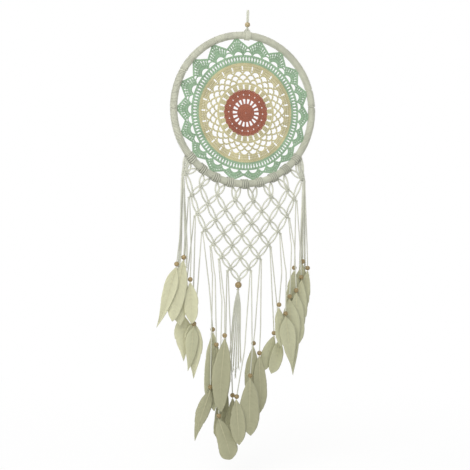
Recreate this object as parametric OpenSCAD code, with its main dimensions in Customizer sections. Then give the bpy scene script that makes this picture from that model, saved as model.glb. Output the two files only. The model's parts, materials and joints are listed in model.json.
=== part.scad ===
// Dream catcher: a cord-wrapped hoop holding a crocheted doily, with a knotted net below it
// and beaded feather strands that hang from the net's edge knots.
// Origin at the top of the hanging loop, +Z up, the front faces -Y. Millimetres.

/* [Hoop] */
// Outer diameter of the wrapped hoop
hoop_d = 320; // [300:5:380]
// Thickness of the hoop with its cord wrap
wrap_d = 16; // [13:0.5:20]
// Thickness of the cane ring inside the wrap
core_d = 10; // [6:0.5:11]

/* [Hanger] */
// Height from the top of the hanging loop to the top of the hoop
hanger_len = 45; // [42:1:80]
// Diameter of the bead on the hanging cord
hanger_bead_d = 11; // [10:0.5:14]
// Half of the hanging loop's inner width
loop_half_w = 2; // [1.5:0.5:8]

/* [Cord] */
// Diameter of the cotton cord
cord_d = 2.5; // [1.8:0.1:2.8]
// Cord turns in each hitch on the hoop
hitch_turns = 4; // [2:1:5]

/* [Doily] */
// Thickness of the crocheted doily
doily_t = 2.4; // [1.6:0.1:4]
// How far the doily sags below the hoop's centre
doily_drop = 6; // [0:0.5:8]
// How far the doily is drawn to the right of the hoop's centre
doily_shift = 3; // [-8:0.5:8]
// Diameter of the red rosette
rosette_d = 94; // [84:1:100]
// Inner radius of the rosette's ring of gaps
rosette_gap_in = 18; // [14:0.5:20]
// Outer radius of the rosette's ring of gaps
rosette_gap_out = 29; // [26:0.5:34]
// Gaps in the rosette
rosette_gaps = 18; // [12:1:20]
// Diameter of the cream mesh
mesh_d = 204; // [200:1:230]
// Gaps round each row of the mesh
mesh_gaps = 26; // [20:1:30]
// Points of the star border
star_points = 18; // [12:1:22]
// Width of the solid band of the star border
star_band = 15; // [10:0.5:18]
// Depth of the notches between the star points, where the doily is centred
star_notch = 14; // [8:0.5:18]

/* [Net] */
// Drop from the hoop to the first row of knots
net_gap = 27; // [24:1:40]
// Angle between neighbouring hitches on the hoop
net_angle = 12.4; // [11:0.1:13.5]
// Turn of the net round the hoop, as the hand-made one hangs
net_turn = 2; // [-3:0.5:3]
// Drop from each row of knots to the next
row_drop = 23.4; // [21:0.1:30]
// Diameter of a square knot
knot_d = 9; // [8:0.1:10]
// Thickness of a square knot, front to back
knot_t = 6; // [4:0.1:8]
// Half of the gap between the two cords of a net side
cord_bow = 2; // [1:0.1:2.5]

/* [Strands] */
// Length that the strands' cords and feathers are counted in
strand_unit = 100; // [90:1:120]
// Diameter of the wooden beads on the strands
bead_d = 10; // [8:0.5:11]
// Diameter of the overhand knot that a strand pair hangs from
ball_d = 6; // [5:0.1:7]
// Thickness of a feather at its shaft
feather_t = 1.2; // [0.8:0.1:1.5]
// Diameter of a feather's quill
quill_d = 1.8; // [1.2:0.1:2]
// Diameter of the bead at the net's tip
centre_bead_d = 14; // [12:0.5:18]
// Length of the tassel cords at the net's tip
tassel_len = 190; // [120:5:200]

/* [Hidden] */
// Clearance of a cord or quill in a bead
bore_clear = 0.35;
// Least room between pieces that move apart
move_clear = 0.35;
// How far the star's tied tips press into the hoop's wrap
star_sink = 0.3;
// Room between the turns of a hitch
turn_gap = 0.8;
// Room between a hitch and the wrap under it
hitch_gap_in = 0.1;
// Half of the gap between two cords that lie side by side
side_gap = 0.05;
// Room between the hanger's knot and the lashing below it, and the bead above it
hanger_room = 1;
bead_room = 0.2;
// How far above its bead's middle the hanging loop starts, and how far below that the hanger cord ends
loop_start = 1;
loop_gap = 2;
// How far the net's tip knot sinks into the centre bead
tip_sink = 0.5;
// How far the tassel's knot sits behind the net
tassel_y = 1.5;
// How far below a knot's middle its cords start
knot_start = 0.5;
// Half of the gap between a cord's end and its quill's end inside a bead
quill_gap = 0.5;
// Quill that shows between a bead and its feather
quill_show = 1;
// Where the star's gaps start above its band, and end above the middle of its valley's height
star_gap_in = 1;
star_gap_out = 2;
// Where a pair's knot sits below its net knot, as a turn outward from straight down
ball_turn = 45;
// Diameter of the ball that rounds an overhand knot's ends, in diameters of the knot
knot_round = 1.15;
// Extra thickness of a strand where it bends
bend_swell = 0.3;
// Sides of a cord tube, and of a hitch tube
cord_sides = 8;
hitch_sides = 6;
// Rings in each turn of a hitch
turn_rings = 10;

hoop_r = hoop_d / 2;
ring_r = hoop_r - wrap_d / 2;
hoop_in_r = hoop_r - wrap_d;
hoop_z = -hanger_len - hoop_r;
bore_d = cord_d + 2 * bore_clear;

// Hanger: two strands of cord side by side in the bead, then a knot that the hoop swings on
pair_x = cord_d / 2 + side_gap;
hanger_bore_d = 2 * (pair_x + cord_d / 2 + bore_clear);
hanger_ball_d = 2 * cord_d;
swing_z = -hanger_len + cord_d + hanger_room + hanger_ball_d / 2;
hanger_bead_z = swing_z + hanger_ball_d / 2 + hanger_bead_d / 2 + bead_room;
loop_ends_z = hanger_bead_z + loop_start;

// Doily radii, from the middle out
rosette_r = rosette_d / 2;
mesh_r = mesh_d / 2;
star_r = hoop_in_r + star_sink;
band_r = mesh_r + star_band;
notch_share = star_notch / (star_r - band_r);
// Rows of round mesh gaps, as shares of the way from the rosette to the mesh's edge
mesh_rows = [0.33, 0.48, 0.63];
// Inner and outer slits of the mesh: start, end
mesh_slots = [[0.02, 0.2], [0.73, 0.9]];
mesh_gap_w = 9.4;
mesh_gap_h = 9.6;

// Net: a row of hitches on the hoop, then rows of 8, 7, 6 ... 1 square knots
net_rows = 8;
net_r = hoop_r + net_gap;
net_pitch = 2 * net_r * sin(net_angle / 2);
net_shift = net_r * sin(net_turn);
hitch_rho = wrap_d / 2 + cord_d / 2 + hitch_gap_in;
hitch_step = cord_d + turn_gap;
hitch_end_r = ring_r + hitch_rho + cord_d;
// How far each row still follows the hoop's curve sideways
row_follow = [1, 1, 0.5, 0, 0, 0, 0, 0];

// Depth layers that keep neighbouring strands apart, from the back one to the front one
sub_y = cord_d / 2 - side_gap;
layer_pitch = bead_d / 2 + 2 * sub_y + cord_d / 2 + move_clear;
layer_back = -2;

// Share of a feather's length that its bare quill takes
quill_share = 0.1;
// Feather outlines: share of the length, share of the half width
leaf = [[0, 0], [quill_share, 0.04], [0.16, 0.34], [0.27, 0.72], [0.42, 0.95],
        [0.58, 1], [0.74, 0.9], [0.87, 0.66], [0.95, 0.36], [1, 0.04]];
point = [[0, 0], [quill_share, 0.04], [0.16, 0.46], [0.25, 0.86], [0.37, 1],
         [0.52, 0.88], [0.68, 0.62], [0.82, 0.36], [0.93, 0.15], [1, 0.02]];
blunt = [[0, 0], [quill_share, 0.04], [0.16, 0.34], [0.27, 0.66], [0.42, 0.88],
         [0.6, 1], [0.78, 1], [0.9, 0.86], [0.97, 0.5], [1, 0.15]];
// Strand pairs: side, net row, depth layer, stretch of cord that runs forward to the layer, then each
// strand's cord length, cord lean, feather length, feather width, feather lean and outline. Lengths are
// counted in strand_unit. The strand behind comes first.
pairs = [
    [-1, 1, 4, 1.25, [1.62, -1, 1.3, 0.38, -9, leaf], [1.76, -5, 1.32, 0.3, -17, point]],
    [-1, 2, 3, 1.1, [1.45, -5, 1.12, 0.34, -1, leaf], [1.64, 0, 0.9, 0.3, 5, leaf]],
    [-1, 3, 1, 1.5, [1.95, -5, 1.02, 0.38, 3, point], [2.07, 0, 1.25, 0.4, 3, point]],
    [-1, 4, 2, 1.1, [1.86, -4, 0.97, 0.3, -6, point], [1.99, 7, 1.69, 0.36, 3, leaf]],
    [-1, 5, 3, 0.65, [2.86, 0.9, 1.14, 0.32, -16, point], [1.99, 3.1, 1.25, 0.34, 9, leaf]],
    [-1, 6, 4, 0.9, [3.18, 0.4, 0.97, 0.4, 19, blunt], [1.53, 2.1, 1.57, 0.4, -1, leaf]],
    [-1, 7, 1, 2, [2.34, 1, 1.16, 0.32, -4, blunt], [2.59, 4, 1.17, 0.32, 2, leaf]],
    [1, 1, 1, 1.4, [1.7, 1.5, 1.28, 0.38, -3, leaf], [1.84, 4, 1.2, 0.3, -8, leaf]],
    [1, 2, 2, 1.2, [1.4, -1, 1.3, 0.4, 4, leaf], [1.6, 4, 1.28, 0.38, -2, leaf]],
    [1, 3, 3, 0.6, [1.5, 5, 1.16, 0.4, 4, leaf], [1.62, 0, 1.67, 0.44, 5, point]],
    [1, 4, 4, 0.8, [1.46, -3, 0.88, 0.26, 6, leaf], [1.64, 1.5, 1.18, 0.38, 10, point]],
    [1, 5, 1, 1.5, [1.81, 5, 0.85, 0.3, -18, leaf], [1.9, 8, 0.8, 0.3, -14, leaf]],
    [1, 6, 2, 1.4, [1.74, -4, 1.37, 0.34, 0, leaf], [1.94, -0.5, 1.3, 0.32, 1, leaf]],
    [1, 7, 5, 1.6, [2.12, -2.5, 1.25, 0.46, 3, leaf], [2.56, -8, 1.01, 0.34, 6, leaf]]
];
// Tassel cords: sideways lean, share of the tassel's length
tassel_cords = [[-5, 0.86], [-3, 1], [-1, 0.9], [1, 0.97], [3, 0.88], [5, 0.8]];
// Backward lean of the tassel, behind the strands
tassel_back = 1.5;

cord_colour = [0.82, 0.81, 0.74];
wrap_colour = [0.77, 0.77, 0.70];
wood_colour = [0.55, 0.40, 0.26];
cane_colour = [0.72, 0.56, 0.36];
red_colour = [0.68, 0.38, 0.33];
cream_colour = [0.82, 0.79, 0.64];
mint_colour = [0.60, 0.73, 0.62];
feather_colour = [0.76, 0.75, 0.63];

// A point on the hoop's plane: distance from the hoop's centre, angle from straight down
function on_hoop(r, a) = [r * sin(a), 0, hoop_z - r * cos(a)];
function unit(v) = v / norm(v);

// Sweep: rings of points round a route, joined by triangles into one closed tube
function route_dir(p, i) =
    unit(p[min(i + 1, len(p) - 1)] - p[max(i - 1, 0)]);
function ring_side(d, ref) = unit(cross(d, ref));
function tube_points(p, r, n, ref) = [
    for (i = [0 : len(p) - 1])
        let (d = route_dir(p, i), s = ring_side(d, ref), t = cross(d, s))
        for (k = [0 : n - 1])
            p[i] + r * (cos(360 * k / n) * s - sin(360 * k / n) * t)
];
function tube_faces(m, n) = concat(
    [for (i = [0 : m - 2], k = [0 : n - 1], h = [0, 1])
        let (a = i * n + k, b = i * n + (k + 1) % n)
        h == 0 ? [a, b, b + n] : [a, b + n, a + n]],
    [for (k = [1 : n - 2]) [0, k + 1, k]],
    [for (k = [1 : n - 2]) [(m - 1) * n, (m - 1) * n + k, (m - 1) * n + k + 1]]
);
module tube(p, d, n, ref = [0, 1, 0]) {
    polyhedron(tube_points(p, d / 2, n, ref), tube_faces(len(p), n));
}

// Hitch: one unbroken cord wound round the hoop at an angle, its ends running out from the hoop
function hitch_point(a, turn) =
    let (s = (turn - hitch_turns / 2) * hitch_step, b = a + s / ring_r * 180 / PI, w = 360 * turn)
    on_hoop(ring_r + hitch_rho * cos(w), b) + [0, hitch_rho * sin(w), 0];
function hitch_end(a, turn) =
    on_hoop(hitch_end_r, a + (turn - hitch_turns / 2) * hitch_step / ring_r * 180 / PI);
function hitch_route(a) = concat(
    [hitch_end(a, 0)],
    [for (k = [0 : hitch_turns * turn_rings]) hitch_point(a, k / turn_rings)],
    [hitch_end(a, hitch_turns)]
);
module hitch(a) {
    p = hitch_route(a);
    hoop_dir = on_hoop(1, a + 90) - on_hoop(0, 0);
    tube(p, cord_d, hitch_sides, hoop_dir);
}
// Least room from a turn to the next, between points at least half a turn apart
hitch_gap = let (p = hitch_route(0))
    min([for (i = [0 : len(p) - 1], k = [i + 1 : 1 : len(p) - 1])
        if (k - i > turn_rings / 2) norm(p[k] - p[i])]) - cord_d;
echo(least_gap_between_hitch_turns = hitch_gap);

// Hanger
function loop_side(s) = [
    [s * pair_x, 0, loop_ends_z],
    [s * pair_x, 0, hanger_bead_z + hanger_bead_d / 2 + 2],
    [s * (loop_half_w + cord_d / 2) * 0.7, 0, -12],
    [s * (loop_half_w + cord_d / 2), 0, -7],
    [s * (loop_half_w + cord_d / 2) * 0.75, 0, -3]
];
function reversed(p) = [for (i = [len(p) - 1 : -1 : 0]) p[i]];
module hanging_loop() {
    color(cord_colour)
    tube(concat(loop_side(-1), [[0, 0, -cord_d / 2]], reversed(loop_side(1))), cord_d, cord_sides);
}
module drilled_bead(d, bore) {
    difference() {
        sphere(d = d, $fn = 48);
        cylinder(d = bore, h = 2 * d, center = true, $fn = 32);
    }
}
module hanger_bead() {
    color(wood_colour)
    translate([0, 0, hanger_bead_z])
    drilled_bead(hanger_bead_d, hanger_bore_d);
}
// An overhand knot that turns on the Y axis through its middle: a short barrel with rounded ends
module turning_knot(d) {
    intersection() {
        sphere(d = d * knot_round, $fn = 48);
        rotate([90, 0, 0])
        cylinder(d = d, h = 2 * d, center = true, $fn = 48);
    }
}
module hanger_cord() {
    color(cord_colour) {
        for (s = [-1, 1])
            translate([s * pair_x, 0, swing_z])
            cylinder(d = cord_d, h = loop_ends_z - loop_gap - swing_z, $fn = 24);
        translate([0, 0, swing_z])
        turning_knot(hanger_ball_d);
    }
}
module hanger_lashing() {
    color(cord_colour)
    hitch(180);
}

// Hoop
module hoop_ring(section_d) {
    translate([0, 0, hoop_z])
    rotate([90, 0, 0])
    rotate_extrude($fn = 120)
    translate([ring_r, 0])
    circle(d = section_d, $fn = 32);
}
module hoop_core() {
    color(cane_colour)
    hoop_ring(core_d);
}
module hoop_wrap() {
    color(wrap_colour)
    difference() {
        hoop_ring(wrap_d);
        hoop_ring(core_d);
    }
}

// Doily: three crocheted rounds in one plane, each a flat net
module doily_layer() {
    translate([doily_shift, doily_t / 2, hoop_z - doily_drop])
    rotate([90, 0, 0])
    linear_extrude(doily_t)
    children();
}
function polar(r, a) = [r * cos(a), r * sin(a)];
// A gap that follows the round: inner and outer radius, middle angle, half angles at both
module round_gap(r1, r2, a, h1, h2) {
    polygon([polar(r1, a - h1), polar(r1, a + h1), polar(r2, a + h2), polar(r2, a - h2)]);
}
module hex_gap(r, a, w, h) {
    rotate(a)
    translate([r, 0])
    polygon([[-h / 2, 0], [-h / 4, -w / 2], [h / 4, -w / 2], [h / 2, 0], [h / 4, w / 2], [-h / 4, w / 2]]);
}
module doily_rosette() {
    step = 360 / rosette_gaps;
    color(red_colour)
    doily_layer()
    difference() {
        circle(r = rosette_r, $fn = 120);
        for (i = [0 : rosette_gaps - 1])
            round_gap(rosette_gap_in, rosette_gap_out, i * step, step * 0.28, step * 0.34);
    }
}
function mesh_at(share) = rosette_r + share * (mesh_r - rosette_r);
module doily_mesh() {
    step = 360 / mesh_gaps;
    color(cream_colour)
    doily_layer()
    difference() {
        circle(r = mesh_r, $fn = 120);
        circle(r = rosette_r, $fn = 120);
        for (i = [0 : mesh_gaps - 1]) {
            for (slot = mesh_slots)
                round_gap(mesh_at(slot[0]), mesh_at(slot[1]), i * step, step * 0.2, step * 0.2);
            for (row = [0 : len(mesh_rows) - 1])
                hex_gap(mesh_at(mesh_rows[row]), (i + (row + 1) % 2 / 2) * step, mesh_gap_w, mesh_gap_h);
        }
    }
}
// Distance from the doily's centre to the hoop, and to the star's outline between two points
function hoop_reach(a) =
    let (c = doily_shift * cos(a) - doily_drop * sin(a))
    sqrt(c * c - doily_shift * doily_shift - doily_drop * doily_drop + star_r * star_r) - c;
function star_valley(a) = hoop_reach(a) - notch_share * (hoop_reach(a) - band_r);
module doily_star() {
    step = 360 / star_points;
    // One point's edge: share of the step, share of the height
    edge = [[-0.5, 0], [-0.24, 0.5], [-0.1, 1], [0.1, 1], [0.24, 0.5]];
    outline = [for (i = [0 : star_points - 1], q = edge)
        let (a = (i + q[0]) * step)
        polar(star_valley(a) + q[1] * (hoop_reach(a) - star_valley(a)), a)];
    color(mint_colour)
    doily_layer()
    difference() {
        polygon(outline);
        circle(r = mesh_r, $fn = 120);
        // A gap below every point and below every notch
        for (i = [0 : 2 * star_points - 1])
            let (a = i * step / 2, middle_r = (star_valley(a) + band_r) / 2)
            round_gap(band_r + star_gap_in, middle_r + star_gap_out, a, step * 0.17, step * 0.09);
    }
}

// Net: knot positions, row by row, then two bowed cords along every side of its diamonds
function knot_u(row, i) = i - (net_rows - row) / 2;
function knot_pos(row, i) =
    let (u = knot_u(row, i), line_x = u * net_pitch, arc_x = net_r * sin(u * net_angle),
         rise = max(0, net_rows - 1 - row) / (net_rows - 2) * net_r * (1 - cos(u * net_angle)))
    [line_x + row_follow[row - 1] * (arc_x - line_x) + net_shift * (net_rows - row) / (net_rows - 1), 0,
     hoop_z - net_r - (row - 1) * row_drop + rise];
function hitch_angle(j) = (j - net_rows / 2) * net_angle + net_turn;
function flat(p) = [p[0], p[2]];
// A net side from one knot to another: the band of its two cords, less the gap between them
module net_side(a, b) {
    d = flat(b) - flat(a);
    n = [-d[1], d[0]] / norm(d);
    steps = [0, 0.25, 0.5, 0.75, 1];
    difference() {
        polygon(concat(
            [for (t = steps) flat(a) + t * d + (cord_d + cord_bow * sin(180 * t)) * n],
            [for (t = reversed(steps)) flat(a) + t * d - (cord_d + cord_bow * sin(180 * t)) * n]));
        polygon([flat(a) + 0.22 * d, flat(a) + 0.5 * d + cord_bow * n,
                 flat(a) + 0.78 * d, flat(a) + 0.5 * d - cord_bow * n]);
    }
}
module net_layer(t) {
    translate([0, t / 2, 0])
    rotate([90, 0, 0])
    linear_extrude(t)
    children();
}
module macrame_net() {
    color(cord_colour) {
        net_layer(cord_d)
        union() {
            for (row = [2 : net_rows], i = [0 : net_rows - row], s = [0, 1])
                net_side(knot_pos(row - 1, i + s), knot_pos(row, i));
            for (j = [0 : net_rows - 1]) {
                net_side(hitch_end(hitch_angle(j), hitch_turns), knot_pos(1, j));
                net_side(hitch_end(hitch_angle(j + 1), 0), knot_pos(1, j));
            }
            net_side(hitch_end(hitch_angle(0), 0), knot_pos(1, 0));
            net_side(hitch_end(hitch_angle(net_rows), hitch_turns), knot_pos(1, net_rows - 1));
        }
        for (row = [1 : net_rows], i = [0 : net_rows - row])
            translate(knot_pos(row, i))
            rotate([90, 0, 0])
            cylinder(d = knot_d, h = knot_t, center = true, $fn = 8);
    }
}
module larks_heads() {
    color(cord_colour)
    for (j = [0 : net_rows])
        hitch(hitch_angle(j));
}

// Tip of the net: a bead on the last knot's cords, a stopper knot and a loose tassel
tip = knot_pos(net_rows, 0);
centre_bead_z = tip[2] - knot_d / 2 - centre_bead_d / 2 + tip_sink;
tassel_pivot = [0, tassel_y, centre_bead_z - centre_bead_d / 2 - ball_d / 2 - move_clear];
module centre_bead() {
    color(wood_colour)
    translate([0, 0, centre_bead_z])
    drilled_bead(centre_bead_d, bore_d * 2);
}
module tassel() {
    color(cord_colour) {
        translate(tassel_pivot)
        turning_knot(ball_d);
        for (c = tassel_cords)
            translate(tassel_pivot)
            rotate([tassel_back, -c[0], 0])
            translate([0, 0, -c[1] * tassel_len])
            cylinder(d = cord_d, h = c[1] * tassel_len, $fn = 8);
    }
}

// Strands: each pair hangs from a knot below and outside the end knot of its net row
function pair_pivot(q) =
    knot_pos(q[1], q[0] < 0 ? 0 : net_rows - q[1])
    + (knot_d / 2 + ball_d / 2 + 2 * move_clear) * [q[0] * sin(ball_turn), 0, -cos(ball_turn)];
function strand(q, k) = q[4 + k];
function fan_len(q) = q[3] * strand_unit;
function cord_len(q, k) = strand(q, k)[0] * strand_unit;
// Depth of a strand: the layer's, with the pair's first strand behind its second
function strand_y(q, k) = layer_back - (q[2] - 1) * layer_pitch + (k == 0 ? sub_y : -sub_y);
// The pair's cords leave the knot side by side, on the side that each one leans to
function cord_start(q, k) = pair_pivot(q) + [sign(strand(q, k)[1] - strand(q, 1 - k)[1]) * pair_x, 0, 0];
// Point on a strand's cord: it runs forward to its layer, then hangs in it
function cord_point(q, k, l) =
    let (lean = strand(q, k)[1], y = strand_y(q, k) * min(1, l / fan_len(q)))
    cord_start(q, k) + [l * sin(lean), y, -l * cos(lean)];
function cord_route(q, k) =
    [for (l = [knot_start, fan_len(q), cord_len(q, k) - quill_gap]) cord_point(q, k, l)];
function bead_pos(q, k) = cord_point(q, k, cord_len(q, k));
function hang_dir(lean) = [sin(lean), 0, -cos(lean)];
// Turns a piece's own +Z to a direction at a point
module along(p, d) {
    translate(p)
    rotate([0, acos(d[2]), atan2(d[1], d[0])])
    children();
}
// A straight stretch of cord
module stretch(a, b) {
    along(a, unit(b - a))
    cylinder(d = cord_d, h = norm(b - a), $fn = 24);
}
module strand_cords(q) {
    color(cord_colour) {
        translate(pair_pivot(q))
        turning_knot(ball_d);
        for (k = [0, 1]) {
            p = cord_route(q, k);
            for (i = [0 : len(p) - 2])
                stretch(p[i], p[i + 1]);
            for (i = [1 : 1 : len(p) - 2])
                translate(p[i])
                sphere(d = cord_d + bend_swell, $fn = 24);
        }
    }
}
module strand_beads(q) {
    color(wood_colour)
    for (k = [0, 1])
        along(bead_pos(q, k), hang_dir(strand(q, k)[1]))
        drilled_bead(bead_d, bore_d);
}
// Feather: a quill out of the bead, then a thin vane; four points at each place along it
function feather_mid(q, k, t) =
    let (s = strand(q, k), p = bead_pos(q, k), d = hang_dir(s[1]), root = bead_d / 2 + quill_show,
         vane_len = s[2] * strand_unit - root)
    t == 0 ? p + quill_gap * d
           : p + root * d + vane_len * (t - quill_share) / (1 - quill_share) * hang_dir(s[4]);
function feather_points(q, k) = [
    for (v = strand(q, k)[5])
        let (s = strand(q, k), m = feather_mid(q, k, v[0]),
             w = max(quill_d / 2, v[1] * s[3] * strand_unit / 2),
             t = v[0] > quill_share ? feather_t / 2 : quill_d / 2,
             side = [cos(s[4]), 0, sin(s[4])])
        for (c = [[-1, 0], [0, -1], [1, 0], [0, 1]])
            m + c[0] * w * side + [0, c[1] * t, 0]
];
module strand_feathers(q) {
    color(feather_colour)
    for (k = [0, 1])
        polyhedron(feather_points(q, k), tube_faces(len(strand(q, k)[5]), 4));
}

hanging_loop();
hanger_bead();
hanger_cord();
hanger_lashing();
hoop_core();
hoop_wrap();
doily_rosette();
doily_mesh();
doily_star();
larks_heads();
macrame_net();
centre_bead();
tassel();
// The pairs' nodes are named by side and net row
for (q = pairs) {
    name = str("strand_", q[0] < 0 ? "l" : "r", q[1]);
    strand_cords(q);
    strand_beads(q);
    strand_feathers(q);
}
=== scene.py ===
import json
import math

import bmesh
import bpy
import numpy as np
from mathutils import Matrix, Vector


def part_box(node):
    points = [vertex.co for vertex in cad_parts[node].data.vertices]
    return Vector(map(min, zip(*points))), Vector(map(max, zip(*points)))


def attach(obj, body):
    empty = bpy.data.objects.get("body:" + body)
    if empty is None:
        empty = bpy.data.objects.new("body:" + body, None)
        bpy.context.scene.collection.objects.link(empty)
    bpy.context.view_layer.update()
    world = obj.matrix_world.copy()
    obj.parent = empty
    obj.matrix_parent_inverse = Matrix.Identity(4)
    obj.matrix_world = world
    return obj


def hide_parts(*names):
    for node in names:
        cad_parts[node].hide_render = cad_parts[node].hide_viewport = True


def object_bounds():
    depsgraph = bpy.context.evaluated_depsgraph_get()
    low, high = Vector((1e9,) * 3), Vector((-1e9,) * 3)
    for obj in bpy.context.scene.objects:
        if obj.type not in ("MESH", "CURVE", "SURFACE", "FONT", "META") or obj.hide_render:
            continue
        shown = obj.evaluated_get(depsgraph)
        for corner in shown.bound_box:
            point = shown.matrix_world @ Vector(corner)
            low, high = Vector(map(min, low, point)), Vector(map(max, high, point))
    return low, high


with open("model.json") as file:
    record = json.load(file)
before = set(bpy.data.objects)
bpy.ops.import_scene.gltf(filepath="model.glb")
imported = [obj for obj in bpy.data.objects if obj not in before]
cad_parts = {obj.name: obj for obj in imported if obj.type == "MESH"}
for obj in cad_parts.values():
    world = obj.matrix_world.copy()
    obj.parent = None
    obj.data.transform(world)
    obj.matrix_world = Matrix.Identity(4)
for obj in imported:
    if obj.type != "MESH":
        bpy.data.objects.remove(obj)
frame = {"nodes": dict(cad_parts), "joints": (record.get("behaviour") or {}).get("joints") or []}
cad_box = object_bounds()

# Lengths are in millimetres and angles in degrees, as in the part's source. Meshes are in metres.
MM = 0.001
rng = np.random.default_rng(5)


def node_box(node):
    """Lowest and highest corner of a CAD node, in millimetres."""
    low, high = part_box(node)
    return np.array(low) / MM, np.array(high) / MM


def half_width(node):
    """Half of a CAD node's width from side to side, in millimetres."""
    low, high = node_box(node)
    return (high[0] - low[0]) / 2


# Hoop and doily, from the frame and as in the part's source
STAR_BAND = 15
STAR_NOTCH = 14
STAR_SINK = 0.3
wrap_low, wrap_high = node_box("hoop_wrap")
HOOP_C = (wrap_low + wrap_high) / 2
HOOP_R = half_width("hoop_wrap")
WRAP_R = (wrap_high[1] - wrap_low[1]) / 2
RING_R = HOOP_R - WRAP_R
HOOP_IN_R = HOOP_R - 2 * WRAP_R
DOILY_C = sum(node_box("doily_rosette")) / 2
ROSETTE_R = half_width("doily_rosette")
MESH_R = half_width("doily_mesh")
BAND_R = MESH_R + STAR_BAND
STAR_POINTS = 18
MESH_GAPS = 26
ROSETTE_GAPS = 18
GAP_IN_R = 18
GAP_OUT_R = 29
# Share of a star point's height that its notches take
NOTCH_SHARE = STAR_NOTCH / (HOOP_IN_R + STAR_SINK - BAND_R)

# Cord and net, as in the part's source
CORD_D = 2.5
SIDE_GAP = 0.05
PAIR_X = CORD_D / 2 + SIDE_GAP
HITCH_TURNS = 4
NET_ROWS = 8
NET_GAP = 27
NET_R = HOOP_R + NET_GAP
NET_ANGLE = 12.4
NET_TURN = 2
ROW_DROP = 23.4
ROW_FOLLOW = (1, 1, 0.5, 0, 0, 0, 0, 0)
# The soft cord swells where nothing grips it: its diameter in the net, the strands and the loop
NET_CORD_D = 4.0
STRAND_CORD_D = 2.9
LOOP_CORD_D = 3.4
# How far the two cords of a net side bow apart
NET_BOW = 3.4

# Beads, feathers and tassel, as in the part's source
BEAD_D = 10
BORE_D = 3.2
HANGER_BORE_D = 5.8
QUILL_D = 1.8
CENTRE_BEAD_D = 14
HANGER_BEAD_D = 11
HANGER_BEAD_Z = sum(node_box("hanger_bead"))[2] / 2
CENTRE_BEAD_Z = sum(node_box("centre_bead"))[2] / 2
LAYER_PITCH = 9.0
LAYER_BACK = -2
SUB_Y = 1.2
TASSEL_LEN = 190
TASSEL_BACK = 1.5
TASSEL_CORDS = ((-5, 0.86), (-3, 1), (-1, 0.9), (1, 0.97), (3, 0.88), (5, 0.8))
# Strand pairs: side, net row, depth layer, run to the layer, feather finish, then each strand's
# cord length, cord lean, feather length, feather width, feather lean and feather outline
PAIRS = (
    (-1, 1, 4, 125, "light", (162, -1, 130, 38, -9, "leaf"), (176, -5, 132, 30, -17, "point")),
    (-1, 2, 3, 110, "light", (145, -5, 112, 34, -1, "leaf"), (164, 0, 90, 30, 5, "leaf")),
    (-1, 3, 1, 150, "light", (195, -5, 102, 38, 3, "point"), (207, 0, 125, 40, 3, "point")),
    (-1, 4, 2, 110, "olive", (186, -4, 97, 30, -6, "point"), (199, 7, 169, 36, 3, "leaf")),
    (-1, 5, 3, 65, "dark", (286, 0.9, 114, 32, -16, "point"), (199, 3.1, 125, 34, 9, "leaf")),
    (-1, 6, 4, 90, "dark", (318, 0.4, 97, 40, 19, "blunt"), (153, 2.1, 157, 40, -1, "leaf")),
    (-1, 7, 1, 200, "dark", (234, 1, 116, 32, -4, "blunt"), (259, 4, 117, 32, 2, "leaf")),
    (1, 1, 1, 140, "olive", (170, 1.5, 128, 38, -3, "leaf"), (184, 4, 120, 30, -8, "leaf")),
    (1, 2, 2, 120, "olive", (140, -1, 130, 40, 4, "leaf"), (160, 4, 128, 38, -2, "leaf")),
    (1, 3, 3, 60, "olive", (150, 5, 116, 40, 4, "leaf"), (162, 0, 167, 44, 5, "point")),
    (1, 4, 4, 80, "olive", (146, -3, 88, 26, 6, "leaf"), (164, 1.5, 118, 38, 10, "point")),
    (1, 5, 1, 150, "olive", (181, 5, 85, 30, -18, "leaf"), (190, 8, 80, 30, -14, "leaf")),
    (1, 6, 2, 140, "dark", (174, -4, 137, 34, 0, "leaf"), (194, -0.5, 130, 32, 1, "leaf")),
    (1, 7, 5, 160, "dark", (212, -2.5, 125, 46, 3, "leaf"), (256, -8, 101, 34, 6, "leaf")),
)
# Feather outlines: share of the length and of the half width. The bare quill takes the first share.
QUILL_SHARE = 0.1
OUTLINES = {
    "leaf": ((QUILL_SHARE, 0.04), (0.16, 0.34), (0.27, 0.72), (0.42, 0.95), (0.58, 1), (0.74, 0.9),
             (0.87, 0.66), (0.95, 0.36), (1, 0.04)),
    "point": ((QUILL_SHARE, 0.04), (0.16, 0.46), (0.25, 0.86), (0.37, 1), (0.52, 0.88), (0.68, 0.62),
              (0.82, 0.36), (0.93, 0.15), (1, 0.02)),
    "blunt": ((QUILL_SHARE, 0.04), (0.16, 0.34), (0.27, 0.66), (0.42, 0.88), (0.6, 1), (0.78, 1),
              (0.9, 0.86), (0.97, 0.5), (1, 0.15)),
}
# Where each moving body turns
PIVOT = {j["child"]: np.array(j["pos_m"]) / MM for j in frame["joints"]}

# Camera: the photo's viewing angle, with the aim point a little right of the picture's middle.
# The aim and the distance are in metres, and names that end in PX are in the photo's pixels.
PHOTO_PX = 470
FOCAL_PX = 966
SENSOR_W = 36
AIM = Vector((0, 0, -0.463))
AIM_PX = 5.1
CAMERA_DISTANCE = 2.0
CAMERA_YAW = math.radians(20.8)
CAMERA_PITCH = math.radians(2.3)
CAMERA_ROLL = math.radians(2.0)


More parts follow.
